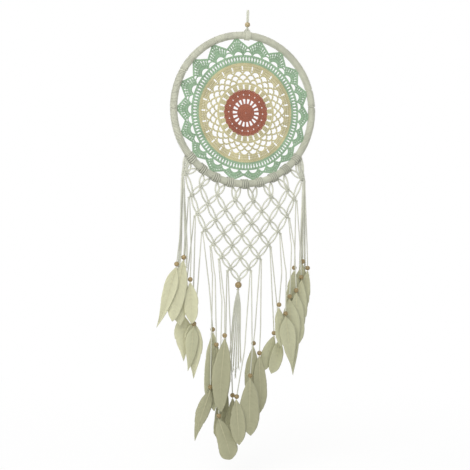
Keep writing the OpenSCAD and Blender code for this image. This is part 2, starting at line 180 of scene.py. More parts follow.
def make_camera():
    """The camera stands back from the aim point at the yaw and pitch, rolled about its own axis."""
    cos_pitch = math.cos(CAMERA_PITCH)
    back = Vector((-math.sin(CAMERA_YAW) * cos_pitch, -math.cos(CAMERA_YAW) * cos_pitch,
                   math.sin(CAMERA_PITCH)))
    level = Vector((0, 0, 1)).cross(back).normalized()
    upright = back.cross(level)
    right = math.cos(CAMERA_ROLL) * level + math.sin(CAMERA_ROLL) * upright
    up = back.cross(right)
    data = bpy.data.cameras.new("camera")
    data.sensor_width = SENSOR_W
    data.lens = FOCAL_PX / PHOTO_PX * SENSOR_W
    data.shift_x = -AIM_PX / PHOTO_PX
    camera = bpy.data.objects.new("camera", data)
    camera.matrix_world = Matrix((right, up, back)).transposed().to_4x4()
    camera.matrix_world.translation = AIM + CAMERA_DISTANCE * back
    bpy.context.scene.collection.objects.link(camera)
    bpy.context.scene.camera = camera


make_camera()


# Materials
class Nodes:
    """A new material's node tree, with a short way to add nodes and join them."""

    def __init__(self, name):
        self.material = bpy.data.materials.new(name)
        self.material.use_nodes = True
        self.tree = self.material.node_tree
        self.shader = self.tree.nodes["Principled BSDF"]

    def put(self, socket, value):
        if isinstance(value, bpy.types.NodeSocket):
            self.tree.links.new(value, socket)
        else:
            socket.default_value = value

    def add(self, kind, inputs=None, **settings):
        node = self.tree.nodes.new("ShaderNode" + kind)
        for name, value in settings.items():
            setattr(node, name, value)
        for name, value in (inputs or {}).items():
            self.put(node.inputs[name], value)
        return node

    def math(self, operation, a, b=0.0):
        return self.add("Math", {0: a, 1: b}, operation=operation).outputs[0]

    def ramp(self, factor, *stops):
        """Colours at places from 0 to 1."""
        node = self.add("ValToRGB", {"Fac": factor})
        elements = node.color_ramp.elements
        while len(elements) < len(stops):
            elements.new(0.5)
        for element, (place, colour) in zip(elements, stops):
            element.position = place
            element.color = (*colour, 1)
        return node.outputs["Color"]

    def between(self, factor, low, high, start=0.0, end=1.0):
        """A number from low to high as the factor goes from start to end."""
        span = {"Value": factor, "From Min": start, "From Max": end, "To Min": low, "To Max": high}
        return self.add("MapRange", span).outputs["Result"]

    def total(self, *parts):
        """The sum of values, each times its weight."""
        weighted = [self.math("MULTIPLY", value, weight) for value, weight in parts]
        result = weighted[0]
        for value in weighted[1:]:
            result = self.math("ADD", result, value)
        return result

    def noise(self, where, scale, detail, roughness=0.5):
        inputs = {"Vector": where, "Scale": scale, "Detail": detail, "Roughness": roughness}
        return self.add("TexNoise", inputs).outputs["Fac"]

    def bump(self, height, strength, distance):
        inputs = {"Height": height, "Strength": strength, "Distance": distance}
        return self.add("Bump", inputs).outputs["Normal"]

    def surface(self, **sockets):
        for name, value in sockets.items():
            self.put(self.shader.inputs[name.replace("_", " ")], value)
        return self.material


def srgb(red, green, blue):
    """A colour as seen on screen, 0 to 255, as the linear colour that a shader takes."""
    return tuple(((c / 255 + 0.055) / 1.055) ** 2.4 for c in (red, green, blue))


def shade(colour, factor):
    """A colour made darker or lighter."""
    return tuple(min(1.0, c * factor) for c in colour)


def cotton(name, colour, fibre_scale=1500, depth=0.45, painted_groove_shade=0.3):
    """Spun cotton: fine fibres, slightly uneven dye, painted shade darkening its grooves and a soft
    matte sheen.
    """
    n = Nodes(name)
    coords = n.add("TexCoord")
    where = coords.outputs["Object"]
    groove = n.add("SeparateXYZ", {"Vector": coords.outputs["UV"]}).outputs["Y"]
    fibre = n.noise(where, fibre_scale, detail=5, roughness=0.7)
    tuft = n.noise(where, fibre_scale / 4, detail=3)
    patch = n.noise(where, scale=28, detail=3)
    # The groove depth from the places darkens the colour: painted shade in the cord's grooves and
    # between wound turns.
    tone = n.total((fibre, 0.35), (tuft, 0.25), (patch, 0.4), (groove, -painted_groove_shade))
    tint = n.ramp(tone, (0.05, shade(colour, 0.4)), (0.3, shade(colour, 0.76)), (0.5, colour),
                  (0.7, shade(colour, 1.14)))
    return n.surface(Base_Color=tint, Roughness=n.between(fibre, 0.82, 0.98),
                     Normal=n.bump(n.math("ADD", fibre, tuft), depth, distance=0.0006),
                     Sheen_Weight=0.25, Specular_IOR_Level=0.25)


def feather_finish(name, colour):
    """Satin vane with fine barb lines; the places run across the barbs and out from the shaft."""
    n = Nodes(name)
    place = n.add("SeparateXYZ", {"Vector": n.add("TexCoord").outputs["UV"]})
    across = place.outputs["X"]
    out = place.outputs["Y"]
    stretched = {"X": n.math("MULTIPLY", across, 40), "Y": n.math("MULTIPLY", out, 1.5)}
    streak = n.noise(n.add("CombineXYZ", stretched).outputs["Vector"], scale=1.5, detail=6)
    line = n.math("SINE", n.total((across, 620), (streak, 5)))
    tone = n.total((streak, 0.7), (line, 0.03), (out, 0.14))
    tint = n.ramp(tone, (0.2, shade(colour, 0.8)), (0.42, colour), (0.7, shade(colour, 1.12)))
    return n.surface(Base_Color=tint, Roughness=n.between(streak, 0.5, 0.7),
                     Normal=n.bump(n.total((line, 0.5), (streak, 1)), 0.25, distance=0.0004),
                     Sheen_Weight=0.3, Specular_IOR_Level=0.35)


def horn(name, colour):
    """The shaft of a feather: smooth and waxy, a little cloudy."""
    n = Nodes(name)
    cloud = n.noise(n.add("TexCoord").outputs["Object"], scale=90, detail=3)
    tint = n.ramp(cloud, (0.3, shade(colour, 0.9)), (0.7, shade(colour, 1.06)))
    return n.surface(Base_Color=tint, Roughness=n.between(cloud, 0.4, 0.55))


def wood(name, colour, grain_scale, roughness):
    """Turned wood with grain lines across it and darker pores."""
    n = Nodes(name)
    where = n.add("TexCoord").outputs["Object"]
    wave = {"Vector": where, "Scale": grain_scale, "Distortion": 5, "Detail": 3, "Detail Scale": 1.5}
    grain = n.add("TexWave", wave, bands_direction="DIAGONAL").outputs["Fac"]
    pores = n.noise(where, grain_scale * 5, detail=3)
    patch = n.noise(where, scale=45, detail=2)
    tone = n.total((grain, 0.4), (pores, 0.25), (patch, 0.4))
    tint = n.ramp(tone, (0.25, shade(colour, 0.5)), (0.55, colour), (0.85, shade(colour, 1.4)))
    return n.surface(Base_Color=tint, Roughness=n.between(pores, roughness - 0.1, roughness + 0.12),
                     Normal=n.bump(tone, 0.25, distance=0.0003))


# The last number of each cotton is how dark its grooves are painted, as painted shade; the hitches
# get the most, painted as dark lines between their turns.
CORD = cotton("cotton_cord", srgb(219, 220, 204), painted_groove_shade=0.16)
HITCH = cotton("hitch_cord", srgb(204, 205, 187), painted_groove_shade=0.5)
LASHING = cotton("lashing_cord", srgb(212, 213, 195), painted_groove_shade=0.2)
WRAP = cotton("wrap_yarn", srgb(199, 200, 182), depth=0.6, painted_groove_shade=0.12)
RED = cotton("red_yarn", srgb(174, 107, 85))
CREAM = cotton("cream_yarn", srgb(213, 205, 162))
MINT = cotton("mint_yarn", srgb(160, 190, 157))
FEATHER = {"light": feather_finish("light_feather", srgb(203, 202, 169)),
           "olive": feather_finish("olive_feather", srgb(184, 184, 152)),
           "dark": feather_finish("dark_feather", srgb(166, 165, 134))}
QUILL = horn("quill", srgb(194, 190, 156))
BEAD = wood("bead_wood", srgb(149, 129, 88), grain_scale=180, roughness=0.42)
PALE_BEAD = wood("pale_bead_wood", srgb(173, 156, 117), grain_scale=180, roughness=0.42)
CANE = wood("cane", srgb(190, 160, 110), grain_scale=90, roughness=0.6)


# Shapes
def resample(points, step):
    """Points an even step apart along a route."""
    run = np.r_[0, np.cumsum(np.linalg.norm(np.diff(points, axis=0), axis=1))]
    place = np.linspace(0, run[-1], max(3, int(round(run[-1] / step)) + 1))
    return np.column_stack([np.interp(place, run, points[:, k]) for k in range(3)])


def smooth(points, step):
    """Points an even step apart on a smooth curve through the given ones."""
    p = np.asarray(points, float)
    p = np.vstack((2 * p[0] - p[1], p, 2 * p[-1] - p[-2]))
    t = np.linspace(0, 1, 16, endpoint=False)[:, None]
    spans = []
    for a, b, c, d in zip(p, p[1:], p[2:], p[3:]):
        slope = (c - a) * t
        bend = (2 * a - 5 * b + 4 * c - d) * t ** 2
        twist = (3 * b - a - 3 * c + d) * t ** 3
        spans.append(0.5 * (2 * b + slope + bend + twist))
    return resample(np.vstack(spans + [p[-2:-1]]), step)


def ring_sides(d):
    """A side direction for each direction of a route, which turns as little as possible along it."""
    start = np.cross(d[0], (0, 1, 0))
    if np.linalg.norm(start) < 1e-3:
        start = np.cross(d[0], (1, 0, 0))
    sides = [start / np.linalg.norm(start)]
    for direction in d[1:]:
        s = sides[-1] - direction * np.dot(sides[-1], direction)
        sides.append(s / np.linalg.norm(s))
    return np.array(sides)


def sweep(p, radius, sides=8, plies=0, depth=0.0, pitch=1.0, side=None, flat=1.0, closed=False):
    """A tube along points: vertices, faces, end caps and each vertex's place, which is its distance
    along and its depth in a groove. With plies the section has that many lobes, which turn along it
    as a twisted cord's do. With side directions given the tube is wound, and its grooves are its
    flanks. flat is the section's width in thicknesses."""
    d = np.gradient(p, axis=0)
    if closed:
        d = np.roll(p, -1, axis=0) - np.roll(p, 1, axis=0)
    d /= np.linalg.norm(d, axis=1)[:, None]
    lobe = np.arange(sides) * 2 * np.pi / sides
    # Each vertex's groove depth, which the cotton finish darkens as painted shade: between plies, or
    # on the flanks of wound turns.
    if side is None:
        side = ring_sides(d)
        groove = (1 - np.cos(plies * lobe)) / 2
    else:
        groove = np.clip(1.6 - 1.6 * np.cos(lobe), 0, 1)
    up = np.cross(d, side)
    run = np.r_[0, np.cumsum(np.linalg.norm(np.diff(p, axis=0), axis=1))]
    angle = lobe[None, :] + (2 * np.pi * run / pitch if plies else 0 * run)[:, None]
    r = np.broadcast_to(np.asarray(radius, float).reshape(-1, 1), (len(p), 1))
    r = r * (1 - depth + depth * np.cos(plies * lobe))[None, :]
    verts = (p[:, None] + (r * np.cos(angle))[..., None] * side[:, None]
             + (flat * r * np.sin(angle))[..., None] * up[:, None]).reshape(-1, 3)
    rings = np.arange(len(p) if closed else len(p) - 1)[:, None] * sides
    after = (rings + sides) % (len(p) * sides)
    k = np.arange(sides)[None, :]
    m = (k + 1) % sides
    quads = np.stack((rings + k, rings + m, after + m, after + k), axis=-1).reshape(-1, 4)
    last = (len(p) - 1) * sides
    caps = [] if closed else [list(range(sides - 1, -1, -1)), list(range(last, last + sides))]
    places = np.column_stack((np.repeat(run / 100, sides), np.tile(groove, len(p))))
    return verts, quads, caps, places


class Shape:
    """Gathers the vertices and faces of one piece."""

    def __init__(self):
        self.verts, self.quads, self.caps, self.places = [], [], [], []
        self.count = 0

    def add(self, verts, quads, caps=(), places=None):
        self.verts.append(verts)
        self.quads.append(np.asarray(quads) + self.count)
        self.caps += [[i + self.count for i in cap] for cap in caps]
        self.places.append(np.zeros((len(verts), 2)) if places is None else places)
        self.count += len(verts)

    def make(self, name, finish, body, slot, *nodes):
        """The piece as an object that rides on a body and stands for the named CAD nodes."""
        mesh = bpy.data.meshes.new(name)
        faces = np.vstack(self.quads).tolist() + self.caps
        mesh.from_pydata((np.vstack(self.verts) * MM).tolist(), [], faces)
        mesh.shade_smooth()
        mesh.materials.append(finish)
        corners = np.zeros(len(mesh.loops), np.int32)
        mesh.loops.foreach_get("vertex_index", corners)
        layer = mesh.uv_layers.new(name="places")
        layer.data.foreach_set("uv", np.vstack(self.places)[corners].astype(np.float32).ravel())
        piece = bpy.data.objects.new(name, mesh)
        bpy.context.scene.collection.objects.link(piece)
        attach(piece, body)
        if nodes:
            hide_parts(*nodes)
        return piece


def cord(shape, points, d=CORD_D, step=1.4):
    """A cotton cord of three twisted plies along a smooth route. Returns the points it follows."""
    p = smooth(points, step)
    shape.add(*sweep(p, d / 2, sides=9, plies=3, depth=0.16, pitch=3.2 * d))
    return p


def lathe(shape, centre, axis, profile, sides=28):
    """A turned piece round an axis, from a closed line of distances along it and radii."""
    axis = np.asarray(axis, float)
    side = np.cross(axis, (0, 1, 0))
    up = np.cross(axis, side)
    a = np.arange(sides) * 2 * np.pi / sides
    ring = np.cos(a)[:, None] * side + np.sin(a)[:, None] * up
    verts = np.vstack([centre + along * axis + radius * ring for along, radius in profile])
    i, k = np.meshgrid(np.arange(len(profile)), np.arange(sides), indexing="ij")
    row = i * sides
    after = (i + 1) % len(profile) * sides
    m = (k + 1) % sides
    shape.add(verts, np.stack((row + k, row + m, after + m, after + k), axis=-1).reshape(-1, 4))


def bead(shape, centre, axis, d, bore):
    """A drilled bead, its bore's edges eased and a fine turning line round its middle."""
    ease = 0.4
    line_depth = 0.12
    top = math.degrees(math.asin((bore / 2 + ease) / (d / 2)))
    angles = np.radians(np.linspace(top, 180 - top, 19))
    radii = np.where(np.abs(angles - np.pi / 2) < 0.01, d / 2 - line_depth, d / 2)
    profile = [(r * math.cos(a), r * math.sin(a)) for a, r in zip(angles, radii)]
    end = profile[0][0] - ease
    profile += [(-end, bore / 2), (end, bore / 2)]
    lathe(shape, centre, axis, profile)


def overhand_knot(shape, centre, size, d):
    """A tight overhand knot: one cord through three crossings, drawn up to the given size."""
    t = np.linspace(0, 2 * np.pi, 61)[:-1]
    x = np.sin(t) + 2 * np.sin(2 * t)
    y = -1.3 * np.sin(3 * t)
    z = np.cos(t) - 2 * np.cos(2 * t)
    p = np.column_stack((x, y, z)) * (size / 2 - d / 2) / 3
    shape.add(*sweep(centre + p, d / 2, plies=3, depth=0.12, pitch=3 * d, closed=True))


def on_hoop(r, a, y=0.0):
    """A point by its distance from the hoop's centre and its angle from straight down."""
    a = np.radians(a)
    return HOOP_C + np.stack((r * np.sin(a), y + 0 * a, -r * np.cos(a)), axis=-1)


def wind(shape, turn, along, rho, thick, wide, sides):
    """A flattened cord wound round the hoop: turns so far, angle along the hoop, distance from the
    middle of the hoop's section, and the cord's own thickness, width and sides."""
    w = 2 * np.pi * turn
    p = on_hoop(RING_R + rho * np.cos(w), along, rho * np.sin(w))
    hoop_way = np.cos(w)[:, None] * (on_hoop(1, along) - HOOP_C)
    outward = hoop_way + np.sin(w)[:, None] * np.array((0, 1, 0))
    shape.add(*sweep(p, thick / 2, sides=sides, side=outward, flat=wide / thick))


# Hoop: a cane ring under one long winding of cord
WIND_PITCH = 2.9
WIND_WIDE = 0.97 * WIND_PITCH
WIND_THICK = 2.3
WIND_RINGS = 16
# How far the winding stays inside the CAD wrap, and how deep its lining lies in cord thicknesses
WIND_INSET = 0.2
LINING_DEPTH = 1.1
# Places where a few turns have drawn apart, as angles from straight down
WIND_GAPS = (-153, -119, 98, 111, 154)
GAP_EXTRA = 0.9
# How uneven the turns are
WIDTH_SPREAD = 0.09
LIFT_SPREAD = 0.16
LIFT_LIMITS = (-0.3, 0.2)


def wound_hoop():
    """Turns of uneven width and height, over a plain lining that closes the gaps between them."""
    shape = Shape()
    turns = int(round(2 * np.pi * RING_R / WIND_PITCH))
    width = 1 + WIDTH_SPREAD * rng.standard_normal(turns)
    for gap in WIND_GAPS:
        width[int((gap % 360) / 360 * turns)] += GAP_EXTRA
    edges = np.r_[0, np.cumsum(width)] * 360 / width.sum()
    turn = np.arange(turns * WIND_RINGS + 1) / WIND_RINGS
    along = np.interp(turn, np.arange(turns + 1), edges)
    uneven = LIFT_SPREAD * rng.standard_normal(turns + 1)
    lift = np.interp(turn, np.arange(turns + 1), uneven)
    rho = WRAP_R - WIND_THICK / 2 - WIND_INSET + np.clip(lift, *LIFT_LIMITS)
    wind(shape, turn, along, rho, WIND_THICK, WIND_WIDE, sides=8)
    lining = on_hoop(RING_R, np.arange(0, 360, 3))
    shape.add(*sweep(lining, WRAP_R - LINING_DEPTH * WIND_THICK, sides=16, closed=True))
    shape.make("hoop_winding", WRAP, "hoop", "wrap_yarn", "hoop_wrap")


wound_hoop()
cane_ring = frame["nodes"]["hoop_core"].data
cane_ring.materials.clear()
cane_ring.materials.append(CANE)


# Hitches: each one cord wound round the hoop, pressed flat on the wrap, with a bar across its turns
HITCH_STEP = 4.2
HITCH_WIDE = 3.4
HITCH_THICK = 2.2
HITCH_PRESS = 0.2
HITCH_RHO = WRAP_R + HITCH_THICK / 2 - HITCH_PRESS
HITCH_RINGS = 20
# The bar: turn that it crosses, lift off the turns and depth
BAR = ((0.3, -1, -3.4), (1, 0.9, -3), (2, 1.1, -2.8), (3, 0.9, -3), (3.7, -1, -3.4))
BAR_D = 2.2


def hitch_angle(a, turn, step=HITCH_STEP):
    """Angle along the hoop of a turn of the hitch at angle a."""
    return a + np.degrees((turn - HITCH_TURNS / 2) * step / RING_R)


def hitch_end(a, turn, step=HITCH_STEP):
    """Where a cord leaves the hitch outward from the hoop."""
    return on_hoop(RING_R + HITCH_RHO, hitch_angle(a, turn, step))


def hitch(shape, a, step=HITCH_STEP, wide=HITCH_WIDE):
    """One hitch at an angle along the hoop, its turns a step apart."""
    turn = np.linspace(0, HITCH_TURNS, HITCH_TURNS * HITCH_RINGS + 1)
    wind(shape, turn, hitch_angle(a, turn, step), HITCH_RHO, HITCH_THICK, wide, sides=10)
    bar = [on_hoop(RING_R + HITCH_RHO + lift, hitch_angle(a, place, step), y)
           for place, lift, y in BAR]
    cord(shape, bar, BAR_D)


def net_hitch_angle(j):
    """Angle along the hoop of the net's hitches, from left to right."""
    return (j - NET_ROWS / 2) * NET_ANGLE + NET_TURN


hitches = Shape()
for j in range(NET_ROWS + 1):
    hitch(hitches, net_hitch_angle(j))
hitches.make("hoop_hitches", HITCH, "hoop", "cotton_cord", "larks_heads")


# Doily: crocheted yarn in three colours
YARN_STEP = 1.2
YARN_FRONT = -0.35
YARN_THICK = 2.6


def on_doily(r, a, y=0.0):
    """A point by its distance from the doily's centre and its angle from +X."""
    a = math.radians(a)
    return DOILY_C + np.array((r * math.cos(a), y, r * math.sin(a)))


def yarn(shape, points, d):
    """A soft yarn of two plies, no thicker from front to back than the doily."""
    shape.add(*sweep(smooth(points, YARN_STEP), d / 2, plies=2, depth=0.16, pitch=2.3 * d,
                     flat=min(1, YARN_THICK / d)))


def post(shape, r1, r2, a, d, y=YARN_FRONT, top=None):
    """An upright stitch from one round to the next, bowed a little out of the doily's plane.
    Where it leans, top is the angle of its outer end."""
    a2 = a if top is None else top
    middle = on_doily((r1 + r2) / 2, (a + a2) / 2, y)
    yarn(shape, [on_doily(r1, a, y / 2), middle, on_doily(r2, a2, y / 2)], d)


def posts(shape, r1, r2, count, d):
    """A closed round of upright stitches, with a second row behind that fills its gaps."""
    for i in range(count):
        a = 360 * i / count
        post(shape, r1, r2, a, d)
        post(shape, r1, r2, a + 180 / count, d, -YARN_FRONT)


def chain(shape, r, d):
    """A closed round of chain stitches."""
    length = 2 * math.pi * r
    count = int(length / YARN_STEP)
    pitch = length / round(length / (2.1 * d))
    p = np.array([on_doily(r, 360 * i / count, YARN_FRONT) for i in range(count)])
    flat = min(1, YARN_THICK / d)
    shape.add(*sweep(p, d / 2, plies=2, depth=0.2, pitch=pitch, flat=flat, closed=True))


def rosette():
    """Four solid rounds, a ring of gaps, then a band with small slits and a scalloped edge."""
    shape = Shape()
    heart = 0.9
    rounds = ((4.5, 8), (9, 16), (13.5, 24), (GAP_IN_R, 32))
    band_in, band_mid, band_out = 35, 40, ROSETTE_R - 1.5
    # Places of the stitches between two gaps and between slits, in steps of the gaps
    gap_posts = (-0.1, 0.1)
    slit_posts = (-0.32, -0.11, 0.11, 0.32)
    inner = heart
    for r, count in rounds:
        posts(shape, inner, r, count, d=2.8)
        chain(shape, r, d=2.4)
        inner = r
    posts(shape, GAP_OUT_R, band_in, count=54, d=3.3)
    posts(shape, band_mid, band_out, count=72, d=3.6)
    step = 360 / ROSETTE_GAPS
    for i in range(ROSETTE_GAPS):
        middle = (i + 0.5) * step
        for s in gap_posts:
            post(shape, GAP_IN_R, GAP_OUT_R, middle + s * step, d=2.7)
        for s in slit_posts:
            post(shape, band_in, band_mid, middle + s * step, d=3.7)
    for r in (GAP_OUT_R + 0.5, band_in, band_mid):
        chain(shape, r, d=2.6)
    scallop = 360 / MESH_GAPS
    edge = ((-0.52, -2.4), (-0.3, -0.7), (0, 0.2), (0.3, -0.7), (0.52, -2.4))
    for i in range(MESH_GAPS):
        rim = [on_doily(ROSETTE_R + rise, (i + s) * scallop, YARN_FRONT) for s, rise in edge]
        yarn(shape, rim, d=3)
    shape.make("crochet_rosette", RED, "hoop", "red_yarn", "doily_rosette")


def mesh_round():
    """A round of slots, three rows of open loops, a round of slits and a solid edge."""
    shape = Shape()
    step = 360 / MESH_GAPS
    slot_out, net_in, net_out, slit_out = 59.5, 61.5, 87, 97.5
    # Places of the stitches between slots and between slits, in steps, and the spread of the last
    slot_posts = (-0.23, 0, 0.23)
    slit_posts = (-0.35, -0.21, -0.07, 0.07, 0.21, 0.35)
    spread = 1.05
    for i in range(MESH_GAPS):
        middle = (i + 0.5) * step
        for s in slot_posts:
            post(shape, ROSETTE_R - 0.5, slot_out, middle + s * step, d=4)
        for s in slit_posts:
            top = middle + spread * s * step
            post(shape, net_out, slit_out, middle + s * step, d=3.9, top=top)
    posts(shape, slit_out, MESH_R - 0.5, count=130, d=3.3)
    for r in (slot_out, net_in - 0.3, net_out, slit_out, MESH_R - 0.8):
        chain(shape, r, d=3.2)
    rows = np.linspace(net_in, net_out, 4)
    arch = ((0, 0), (0.09, 0.5), (0.28, 0.88), (0.5, 1), (0.72, 0.88), (0.91, 0.5), (1, 0))
    for row, (low, high) in enumerate(zip(rows, rows[1:])):
        for i in range(MESH_GAPS):
            start = (i + row % 2 / 2) * step
            loop = [on_doily(low + t * (high - low), start + s * step, YARN_FRONT * t)
                    for s, t in arch]
            yarn(shape, loop, d=4)
    shape.make("crochet_mesh", CREAM, "hoop", "cream_yarn", "doily_mesh")


def hoop_reach(a):
    """Distance from the doily's centre to the hoop's wrap in one direction."""
    drift = DOILY_C - HOOP_C
    c = drift[0] * math.cos(math.radians(a)) + drift[2] * math.sin(math.radians(a))
    return math.sqrt(c * c - drift[0] ** 2 - drift[2] ** 2 + (HOOP_IN_R + 1) ** 2) - c


def star_valley(a):
    """Distance from the doily's centre to the bottom of a notch between two points."""
    return hoop_reach(a) - NOTCH_SHARE * (hoop_reach(a) - BAND_R)


def star_point(shape, a, step):
    """One point of the border: an arch below it, half an arch to each side and a fan with slits."""
    tip = hoop_reach(a)
    arch_in, arch_out = BAND_R + 1, BAND_R + 9
    # In steps: half of the flat tip, the tops of the fan's stitches, then foot and waist for each top
    apex = 0.05
    fan = (0.05, 0.145, 0.255, 0.365, 0.46)
    foot, waist = 0.55, 0.78

    def edge(x):
        """Radius of the point's edge at a share of the step from its middle."""
        valley = star_valley(a + math.copysign(0.5, x) * step)
        return tip - (tip - valley) * (max(0, abs(x) - apex) / (0.5 - apex)) ** 0.85

    def arch(x):
        """Radius of the arches at a share of the step from the point's middle."""
        return arch_in + (arch_out - arch_in) * abs(math.cos(2 * math.pi * x)) ** 0.6

    def at(r, x, y=YARN_FRONT):
        return on_doily(r, a + x * step, y)

    for s in (-1, 1):
        for x in (0, 0.25):
            half = s * np.linspace(x, x + 0.25, 6)
            yarn(shape, [at(arch(h), h) for h in half], d=3.2)
    for x in fan:
        for s in (-x, x):
            low = foot * s
            middle = at((arch(low) + edge(s)) / 2, waist * s)
            yarn(shape, [at(arch(low), low), middle, at(edge(s) - 1, s)], d=4.8)
    outer = (-0.5, -0.38, -0.25, -0.14, -apex, apex, 0.14, 0.25, 0.38, 0.5)
    for inset in (0, 1.6):
        yarn(shape, [at(edge(x) - inset, x) for x in outer], d=3)


def star_round():
    """An open band of upright stitches, then the points."""
    shape = Shape()
    stitches = 108
    for i in range(stitches):
        a = i * 360 / stitches
        post(shape, MESH_R + 0.5, BAND_R - 0.5, a, d=4.9)
    for r in (MESH_R + 1, MESH_R + 3.4, BAND_R - 1.8, BAND_R):
        chain(shape, r, d=3)
    step = 360 / STAR_POINTS
    for i in range(STAR_POINTS):
        star_point(shape, i * step, step)
    shape.make("crochet_star", MINT, "hoop", "mint_yarn", "doily_star")


rosette()
mesh_round()
star_round()


# Net: square knots in rows, joined by pairs of bowed cords
KNOT_HALF_W = 3.7
KNOT_HALF_T = 2.3
KNOT_CORD_D = 3.2
# The two half knots: height in the knot and tilt
HALF_KNOTS = ((1.7, 0.35), (-1.7, -0.35))
# One of the knot's side loops, as points from its middle
SIDE_LOOP = np.array(((1.2, -1.2, 3.8), (3.4, -2.6, 1.5), (3.8, -2, -1.3), (1.4, -1.2, -3.8)))
# A net side: its cords' points as shares of its run, half of their gap at its ends, how unevenly
# they bow and their depth
SIDE_STOPS = (0.02, 0.12, 0.3, 0.5, 0.7, 0.88, 0.98)
SIDE_HALF_GAP = 0.9
BOW_RANGE = (0.85, 1.15)
SIDE_DEPTH = 0.5


def knot_pos(row, i):
    """Middle of a knot of the net. The upper rows follow the hoop's curve."""
    u = i - (NET_ROWS - row) / 2
    pitch = 2 * NET_R * math.sin(math.radians(NET_ANGLE / 2))
    arc = math.radians(u * NET_ANGLE)
    rise = max(0, NET_ROWS - 1 - row) / (NET_ROWS - 2) * NET_R * (1 - math.cos(arc))
    x = u * pitch + ROW_FOLLOW[row - 1] * (NET_R * math.sin(arc) - u * pitch)
    shift = NET_R * math.sin(math.radians(NET_TURN)) * (NET_ROWS - row) / (NET_ROWS - 1)
    return HOOP_C + np.array((x + shift, 0, -NET_R - (row - 1) * ROW_DROP + rise))


def net_side(shape, a, b):
    """Two cords from one knot to another, bowed apart and crossing slightly in depth."""
    run = b - a
    across = np.array((-run[2], 0, run[0])) / np.linalg.norm(run)
    for s in (-1, 1):
        spread = NET_BOW * rng.uniform(*BOW_RANGE)
        route = []
        for t in SIDE_STOPS:
            off = s * (SIDE_HALF_GAP + spread * math.sin(math.pi * t))
            depth = np.array((0, SIDE_DEPTH * s * math.cos(math.pi * t), 0))
            route.append(a + t * run + off * across + depth)
        cord(shape, route, NET_CORD_D)


def square_knot(shape, centre):
    """Two half knots, one above the other, each a cord round the knot, and a loop at each side."""
    t = np.linspace(0, 2 * np.pi, 29)[:-1]
    x = KNOT_HALF_W * np.cos(t)
    y = -KNOT_HALF_T * np.sin(t)
    for level, tilt in HALF_KNOTS:
        z = level + tilt * rng.uniform(0.9, 1.1) * x
        p = centre + np.column_stack((x, y, z))
        shape.add(*sweep(p, KNOT_CORD_D / 2, plies=3, depth=0.14, pitch=8, closed=True))
    for s in (-1, 1):
        cord(shape, centre + SIDE_LOOP * (s, 1, 1))


net = Shape()
for row in range(2, NET_ROWS + 1):
    for i in range(NET_ROWS - row + 1):
        for s in (0, 1):
            net_side(net, knot_pos(row - 1, i + s), knot_pos(row, i))
for j in range(NET_ROWS):
    net_side(net, hitch_end(net_hitch_angle(j), HITCH_TURNS), knot_pos(1, j))
    net_side(net, hitch_end(net_hitch_angle(j + 1), 0), knot_pos(1, j))
net_side(net, hitch_end(net_hitch_angle(0), 0), knot_pos(1, 0))
net_side(net, hitch_end(net_hitch_angle(NET_ROWS), HITCH_TURNS), knot_pos(1, NET_ROWS - 1))
for row in range(1, NET_ROWS + 1):
    for i in range(NET_ROWS - row + 1):
        square_knot(net, knot_pos(row, i))


# Hanger: a loop of cord through a bead, knotted to a lashing of close turns round the hoop
LASHING_STEP = 2.8
LASHING_WIDE = 2.6
LASHING_AT = 180
# Half of the loop's width, at its ends and at its legs
LOOP_NECK = 1.2
LOOP_LEG = 1.45
TOP_KNOT_SIZE = 6.4
TOP_KNOT_CORD_D = 2.2


def hanger():
    """The loop, its bead, the knot that the hoop swings on and the lashing."""
    loop = Shape()
    bead_top = HANGER_BEAD_Z + HANGER_BEAD_D / 2
    half = [(LOOP_NECK, HANGER_BEAD_Z + 1), (LOOP_NECK, bead_top + 1), (LOOP_LEG, bead_top + 6),
            (LOOP_LEG, -12), (LOOP_LEG, -6), (LOOP_NECK, -2.6)]
    left = [(-x, 0, z) for x, z in half]
    right = [(x, 0, z) for x, z in half[::-1]]
    cord(loop, left + [(0, 0, -LOOP_CORD_D / 2)] + right, LOOP_CORD_D)
    loop.make("top_loop", CORD, "hanging_loop", "cotton_cord", "hanging_loop")
    pivot = PIVOT["hoop"]
    beads = Shape()
    bead(beads, np.array((0, 0, HANGER_BEAD_Z)), (0, 0, 1), HANGER_BEAD_D, HANGER_BORE_D)
    beads.make("top_bead", PALE_BEAD, "hanger", "bead_wood", "hanger_bead")
    ties = Shape()
    for s in (-1, 1):
        cord(ties, [(s * PAIR_X, 0, HANGER_BEAD_Z - 1), (s * PAIR_X, 0, HANGER_BEAD_Z - 4), pivot])
    overhand_knot(ties, pivot, TOP_KNOT_SIZE, TOP_KNOT_CORD_D)
    ties.make("top_knot", CORD, "hanger", "cotton_cord", "hanger_cord")
    lashing = Shape()
    hitch(lashing, LASHING_AT, LASHING_STEP, LASHING_WIDE)
    for turn in (0, HITCH_TURNS):
        end = hitch_end(LASHING_AT, turn, LASHING_STEP)
        cord(lashing, [end - (0, 0, 2.5), end, 0.4 * end + 0.6 * pivot + (0, 0, 0.8), pivot])
    lashing.make("hoop_lashing", LASHING, "hoop", "cotton_cord", "hanger_lashing")


hanger()


# Strands: pairs of cords from one overhand knot, with a bead and a feather on each
STRAND_KNOT_SIZE = 7
STRAND_KNOT_CORD_D = 2.3
QUILL_SHOW = 1
# Rows of points along a feather, and its columns as shares of the half width
STATIONS = 56
COLUMNS = np.array((-1, -0.82, -0.6, -0.36, -0.1, 0.1, 0.36, 0.6, 0.82, 1))
# A vane's form; the shaft's bend is a share of the length
LEAST_HALF_W = 0.3
SHAFT_BEND = 0.05
CUP_RANGE = (0.8, 1.7)
VANE_WAVE = 0.35
BARB_SWEEP = 0.3
BARB_SLOPE = 0.9
VANE_HALF_T = 0.22
VANE_THINNER = 0.1
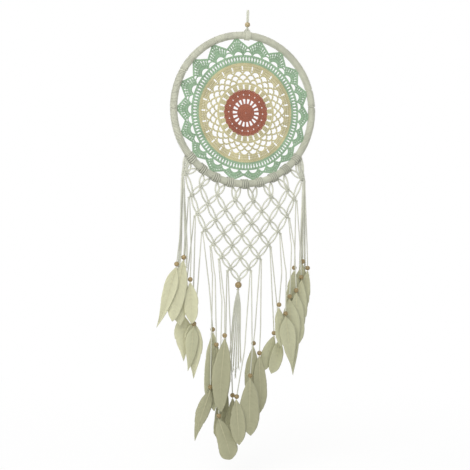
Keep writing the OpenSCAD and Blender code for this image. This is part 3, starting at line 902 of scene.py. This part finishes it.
# Its ragged edge: fuzz and waves are shares of the half width
EDGE_FUZZ = 0.008
EDGE_WAVE = 0.045
EDGE_SPLITS = 3
PHASES = (0, 6.28)
# Down at its root
DOWN_HAIRS = 18
DOWN_ROWS = 6
DOWN_REACH = (6, 12)
DOWN_R = (0.22, 0.07)
# Where the cords from the net to a strand's knot start
TIE_HALF_GAP = 1.2
TIE_OUT = 1.5
TIE_DROP = 2
FRONT_TO_BACK = np.array((0, 1, 0))


def hang_dir(lean):
    """Downward direction with a sideways lean."""
    return np.array((math.sin(math.radians(lean)), 0, -math.cos(math.radians(lean))))


def cord_route(start, lean, length, run, depth):
    """Points along a strand's cord, from its knot into its bead, at its full depth after the run."""
    places = (0.5, 0.25 * run, 0.5 * run, 0.75 * run, run, (run + length) / 2, length)
    return [start + at * hang_dir(lean) + (0, depth * min(1, at / run), 0) for at in places]


def outline_width(outline, t):
    """Half width at each share of a vane's length, as a share of its greatest."""
    place, share = np.array(OUTLINES[outline]).T
    width = np.interp(t, (place - QUILL_SHARE) / (1 - QUILL_SHARE), share)
    padded = np.pad(width, 2, mode="reflect", reflect_type="odd")
    return np.convolve(padded, np.ones(5) / 5, mode="valid")


def ragged_edge(t):
    """Share of the width that a feather's side keeps: soft waves and a few splits."""
    kept = 1 + EDGE_FUZZ * rng.standard_normal(len(t))
    kept += EDGE_WAVE * np.sin(rng.uniform(7, 12) * t + rng.uniform(*PHASES))
    for place in rng.uniform(0.25, 0.95, EDGE_SPLITS):
        after = t - place
        kept -= np.where(after > 0, rng.uniform(0.03, 0.12) * np.exp(-after * 25), 0)
    return kept


def thin_sheet(shape, middle, half_thick, places):
    """A closed sheet: rows and columns of points, and half its thickness at each column."""
    rows, columns = middle.shape[:2]
    behind = rows * columns
    half = half_thick[None, :, None] * FRONT_TO_BACK
    verts = np.vstack(((middle - half).reshape(-1, 3), (middle + half).reshape(-1, 3)))
    i, k = np.meshgrid(np.arange(rows - 1), np.arange(columns - 1), indexing="ij")
    corner = (i * columns + k).ravel()
    sheet = np.stack((corner, corner + columns, corner + columns + 1, corner + 1), axis=-1)
    rim = np.r_[np.arange(columns), np.arange(2 * columns - 1, behind, columns),
                np.arange(behind - 2, behind - columns - 1, -1),
                np.arange(behind - 2 * columns, 0, -columns)]
    after = np.roll(rim, -1)
    border = np.stack((rim, after, after + behind, rim + behind), axis=-1)
    faces = np.vstack((sheet, sheet[:, ::-1] + behind, border))
    places = places.reshape(-1, 2)
    shape.add(verts, faces, places=np.vstack((places, places)))


def down_hair(shape, mid, side, axis):
    """One hair of the down at a feather's root, which curls out from the shaft."""
    start = mid[int(rng.uniform(0, DOWN_ROWS))]
    way = rng.uniform(-1, 1)
    reach = rng.uniform(*DOWN_REACH)
    fall = reach * (1 - 0.4 * abs(way))
    tip = start + 0.8 * way * reach * side + fall * axis + rng.uniform(-0.8, 0.8) * FRONT_TO_BACK
    bow = (start + tip) / 2 + 0.25 * way * reach * side - 0.1 * reach * axis
    hair = smooth([start, bow, tip], reach / 5)
    verts, quads, caps, _ = sweep(hair, np.linspace(*DOWN_R, len(hair)), sides=3)
    shape.add(verts, quads, caps, np.full((len(verts), 2), 0.5))


def feather(vanes, quills, centre, lean, length, width, turn, outline, back):
    """A feather hung from a bead: shaft, two vanes and a little down at the root. back is 1 where the
    vanes cup to the back and -1 where they cup to the front."""
    root_at = BEAD_D / 2 + QUILL_SHOW
    root = centre + root_at * hang_dir(lean)
    axis = hang_dir(turn)
    side = np.array((math.cos(math.radians(turn)), 0, math.sin(math.radians(turn))))
    t = np.linspace(0, 1, STATIONS)
    half = np.maximum(outline_width(outline, t) * width / 2, LEAST_HALF_W)
    bend = rng.uniform(-SHAFT_BEND, SHAFT_BEND) * length * np.sin(np.pi * t) * t
    cup = back * rng.uniform(*CUP_RANGE)
    phase = rng.uniform(*PHASES)
    mid = root + ((length - root_at) * t)[:, None] * axis + bend[:, None] * side
    kept = {-1: ragged_edge(t), 1: ragged_edge(t)}
    columns, places = [], []
    for u in COLUMNS:
        reach = u * half * (kept[np.sign(u)] if abs(u) > 0.9 else 1)
        swept = BARB_SWEEP * np.abs(reach) * (1 - t) ** 0.5
        wave = VANE_WAVE * back * u * np.sin(7 * t + phase)
        depth = cup * u * u * np.sin(np.pi * t) ** 0.5 + wave
        offset = reach[:, None] * side + swept[:, None] * axis + depth[:, None] * FRONT_TO_BACK
        columns.append(mid + offset)
        barb = (length * t - BARB_SLOPE * np.abs(reach)) / 100
        places.append(np.column_stack((barb, np.full(STATIONS, abs(u)))))
    half_thick = VANE_HALF_T - VANE_THINNER * np.abs(COLUMNS)
    thin_sheet(vanes, np.stack(columns, axis=1), half_thick, np.stack(places, axis=1))
    in_bead = [centre + at * hang_dir(lean) for at in (0.5, 0.6 * root_at)]
    shaft = np.vstack((in_bead, mid[:-1:4]))
    quills.add(*sweep(shaft, QUILL_D / 2 * np.linspace(1, 0.2, len(shaft)), sides=6))
    for _ in range(DOWN_HAIRS):
        down_hair(vanes, mid, side, axis)


def turn_outward(piece):
    """Turns every face of a piece's mesh outward."""
    work = bmesh.new()
    work.from_mesh(piece.data)
    bmesh.ops.recalc_face_normals(work, faces=work.faces)
    work.to_mesh(piece.data)
    work.free()


def strand_cord(name, body, route, d):
    """A cord of its own among the cords of a strand's body."""
    shape = Shape()
    p = cord(shape, route, d)
    piece = shape.make(name, CORD, body, "cotton_cord", body + "_cords")


def strand_pair(side, row, layer, run, finish, *strands):
    """Two strands from one knot at an end of a net row, as a row of PAIRS gives them."""
    name = ("l" if side < 0 else "r") + str(row)
    body = "strand_" + name
    pivot = PIVOT[body]
    knot = Shape()
    overhand_knot(knot, pivot, STRAND_KNOT_SIZE, STRAND_KNOT_CORD_D)
    knot.make(name + "_knot", CORD, body, "cotton_cord", body + "_cords")
    beads, vanes, quills = Shape(), Shape(), Shape()
    for k, (length, lean, feather_len, feather_w, turn, outline) in enumerate(strands):
        back = 1 if k == 0 else -1
        depth = LAYER_BACK - (layer - 1) * LAYER_PITCH + back * SUB_Y
        start = pivot + (math.copysign(PAIR_X, lean - strands[1 - k][1]), 0, 0)
        route = cord_route(start, lean, length, run, depth)
        strand_cord(f"{name}_cord_{k + 1}", body, route, STRAND_CORD_D)
        bead(beads, route[-1], hang_dir(lean), BEAD_D, BORE_D)
        feather(vanes, quills, route[-1], lean, feather_len, feather_w, turn, outline, back)
    beads.make(name + "_bead_pair", BEAD, body, "bead_wood", body + "_beads")
    turn_outward(vanes.make(name + "_vanes", FEATHER[finish], body, "feather", body + "_feathers"))
    quills.make(name + "_quills", QUILL, body, "feather", body + "_feathers")
    end_knot = knot_pos(row, 0 if side < 0 else NET_ROWS - row)
    for s in (-1, 1):
        start = end_knot + (s * TIE_HALF_GAP + side * TIE_OUT, 0, -TIE_DROP)
        cord(net, [start, (start + pivot) / 2 + (side * 0.8, -0.5 * s, 0.4), pivot], STRAND_CORD_D)


for pair in PAIRS:
    strand_pair(*pair)


# More cords hang beside the two outermost pairs and end behind their feathers.
BUNDLE_CORD_D = 4.3
BUNDLE_PITCH = 1.6
BUNDLE_BACK = 1.5
# Share of its length after which a cord is at its full depth
BUNDLE_RUN = 0.75
# For each bundle: body, hitch that it comes from, then each cord's lean, length and depth
BUNDLES = (
    ("strand_l1", 0, ((-3.2, 186, -27.5), (-2.9, 192, -27.5), (1.25, 184, -27.5))),
    ("strand_r1", 8, ((0.1, 190, 2), (1.4, 196, 3.2), (2.9, 188, 2))),
)


def bundle(body, hitch_number, cords):
    """Loose cords beside a strand pair, each joined to its hitch by a cord of the net."""
    pivot = PIVOT[body]
    for number, (lean, length, depth) in enumerate(cords):
        place = number - 1
        start = pivot + (BUNDLE_PITCH * place, BUNDLE_BACK, 0)
        route = [start + at * length * hang_dir(lean) + (0, depth * min(1, at / BUNDLE_RUN), 0)
                 for at in (0.01, 0.25, 0.5, 0.75, 1)]
        strand_cord(f"{body[-2:]}_bundle_{number + 1}", body, route, BUNDLE_CORD_D)
        top = hitch_end(net_hitch_angle(hitch_number), 1 + number)
        cord(net, [top, 0.5 * (top + start) + (1.5 * place, 1, 0), start], BUNDLE_CORD_D)


for loose_cords in BUNDLES:
    bundle(*loose_cords)


# Tip of the net: a bead and a loose tassel
TASSEL_CORD_D = 3.4
# Points along a tassel cord: share of its length, share of its bulge
TASSEL_BULGE = ((0.01, 0), (0.1, 0.6), (0.22, 1), (0.4, 0.8), (0.65, 0.2), (0.94, 0))
# Belly of the tassel for each degree that a cord leans
TASSEL_BELLY = 0.7
FRAY_HAIRS = 14
# Length of the frayed end, as a share of its cord's
FRAY_SHARE = 0.06
# How far its hairs stray at their root, knee and tip, and their radius
FRAY_STRAY = (0.6, 0.8, 4)
FRAY_R = (0.4, 0.15)


def tip_bead(pivot):
    """The bead on the two cords between the net's last knot and the tassel's knot."""
    middle = np.array((0, 0, CENTRE_BEAD_Z))
    tip = knot_pos(NET_ROWS, 0)
    for s in (-1, 1):
        above = [tip + (s * 1.3, 0, -2), middle + (s * 1.3, 0, 4)]
        cord(net, above + [middle, middle + (s, 0.8, -5), pivot])
    beads = Shape()
    bead(beads, middle, (0, 0, 1), CENTRE_BEAD_D, 2 * BORE_D)
    beads.make("tip_bead", BEAD, "hoop", "bead_wood", "centre_bead")


def tassel(pivot):
    """A knot and six cords with frayed ends."""
    knot = Shape()
    overhand_knot(knot, pivot, STRAND_KNOT_SIZE, STRAND_KNOT_CORD_D)
    knot.make("tassel_knot", CORD, "tassel", "cotton_cord", "tassel")
    back = math.tan(math.radians(TASSEL_BACK))
    root, knee, tip = FRAY_STRAY
    for number, (lean, share) in enumerate(TASSEL_CORDS):
        length = share * TASSEL_LEN
        way = hang_dir(lean) + (0, back, 0)
        belly = np.array((TASSEL_BELLY * lean, 0, 0))
        route = [pivot + at * length * way + bulge * belly for at, bulge in TASSEL_BULGE]
        shape, fray = Shape(), Shape()
        p = cord(shape, route, TASSEL_CORD_D)
        for _ in range(FRAY_HAIRS):
            start = p[-3] + rng.uniform(-root, root, 3)
            end = p[-1] + FRAY_SHARE * length * way + rng.uniform(-tip, tip, 3) * (1, 0.5, 1)
            hair = smooth([start, p[-1] + rng.uniform(-knee, knee, 3), end], 2)
            fray.add(*sweep(hair, np.linspace(*FRAY_R, len(hair)), sides=4))
        piece = shape.make(f"tassel_cord_{number + 1}", CORD, "tassel", "cotton_cord", "tassel")
        frayed = fray.make(f"tassel_fray_{number + 1}", CORD, "tassel", "cotton_cord", "tassel")


tip_bead(PIVOT["tassel"])
tassel(PIVOT["tassel"])
net.make("knotted_net", CORD, "hoop", "cotton_cord", "macrame_net")


# Stage: a pale floor that fades into a white surround, soft lamps and an even sky
# Lengths here are in metres
FLOOR_DROP = 0.05
FLOOR_R = 3.0
FLOOR_SIDES = 64
# Distances between which the floor turns white, and how white it is nearer than that
FADE_START = 0.4
FADE_END = 1.2
NEAR_WHITE = 0.85
SKY_LIGHT = 0.4
WHITE = (1, 1, 1, 1)
PAPER = (0.9, 0.9, 0.89, 1)
# Lamps: name, place, size and watts
LAMPS = (
    ("key", (-1.2, -1.4, 0.8), 1.6, 40),
    ("fill", (1.6, -1.5, 0.1), 1.6, 4),
    ("back", (0.6, 1.9, 0.4), 1.8, 30),
)


def seen_directly(tree):
    """1 where the camera looks straight at something, or sees it in gloss or through glass."""
    rays = tree.nodes.new("ShaderNodeLightPath").outputs
    seen = rays["Is Camera Ray"]
    for kind in ("Is Glossy Ray", "Is Transmission Ray"):
        either = tree.nodes.new("ShaderNodeMath")
        either.operation = "MAXIMUM"
        tree.links.new(seen, either.inputs[0])
        tree.links.new(rays[kind], either.inputs[1])
        seen = either.outputs[0]
    return seen


def make_floor():
    """A round floor that keeps the shadow near the object and turns white further out."""
    mesh = bpy.data.meshes.new("floor")
    turn = np.arange(FLOOR_SIDES) * 2 * np.pi / FLOOR_SIDES
    rim = FLOOR_R * np.column_stack((np.cos(turn), np.sin(turn), 0 * turn))
    mesh.from_pydata(rim.tolist(), [], [list(range(FLOOR_SIDES))])
    n = Nodes("pale_paper")
    n.surface(Base_Color=PAPER, Roughness=0.9)
    where = n.add("TexCoord").outputs["Object"]
    far = n.add("VectorMath", {0: where}, operation="LENGTH").outputs["Value"]
    cover = n.between(far, NEAR_WHITE, 1.0, FADE_START, FADE_END)
    share = n.math("MULTIPLY", seen_directly(n.tree), cover)
    white = n.add("Emission", {"Color": WHITE, "Strength": 1.0}).outputs["Emission"]
    mixed = n.add("MixShader", {0: share, 1: n.shader.outputs["BSDF"], 2: white}).outputs["Shader"]
    n.tree.links.new(mixed, n.tree.nodes["Material Output"].inputs["Surface"])
    mesh.materials.append(n.material)
    floor = bpy.data.objects.new("floor", mesh)
    floor.location = (0, 0, cad_box[0][2] - FLOOR_DROP)
    bpy.context.scene.collection.objects.link(floor)


def lamp(name, place, size, watts):
    """A square soft lamp at the object, which the camera doesn't see."""
    data = bpy.data.lights.new(name, "AREA")
    data.size = size
    data.energy = watts
    light = bpy.data.objects.new(name, data)
    light.location = place
    light.rotation_euler = (AIM - Vector(place)).to_track_quat("-Z", "Y").to_euler()
    light.visible_camera = False
    bpy.context.scene.collection.objects.link(light)


def make_sky():
    """An even sky that lights softly, and shows white behind the object."""
    world = bpy.data.worlds.new("sky")
    world.use_nodes = True
    tree = world.node_tree
    mix = tree.nodes.new("ShaderNodeMixShader")
    tree.links.new(seen_directly(tree), mix.inputs[0])
    for socket, strength in ((1, SKY_LIGHT), (2, 1.0)):
        sky = tree.nodes.new("ShaderNodeBackground")
        sky.inputs["Color"].default_value = WHITE
        sky.inputs["Strength"].default_value = strength
        tree.links.new(sky.outputs["Background"], mix.inputs[socket])
    tree.links.new(mix.outputs["Shader"], tree.nodes["World Output"].inputs["Surface"])
    bpy.context.scene.world = world


make_floor()
make_sky()
for settings in LAMPS:
    lamp(*settings)
bpy.context.scene.view_settings.view_transform = "Standard"
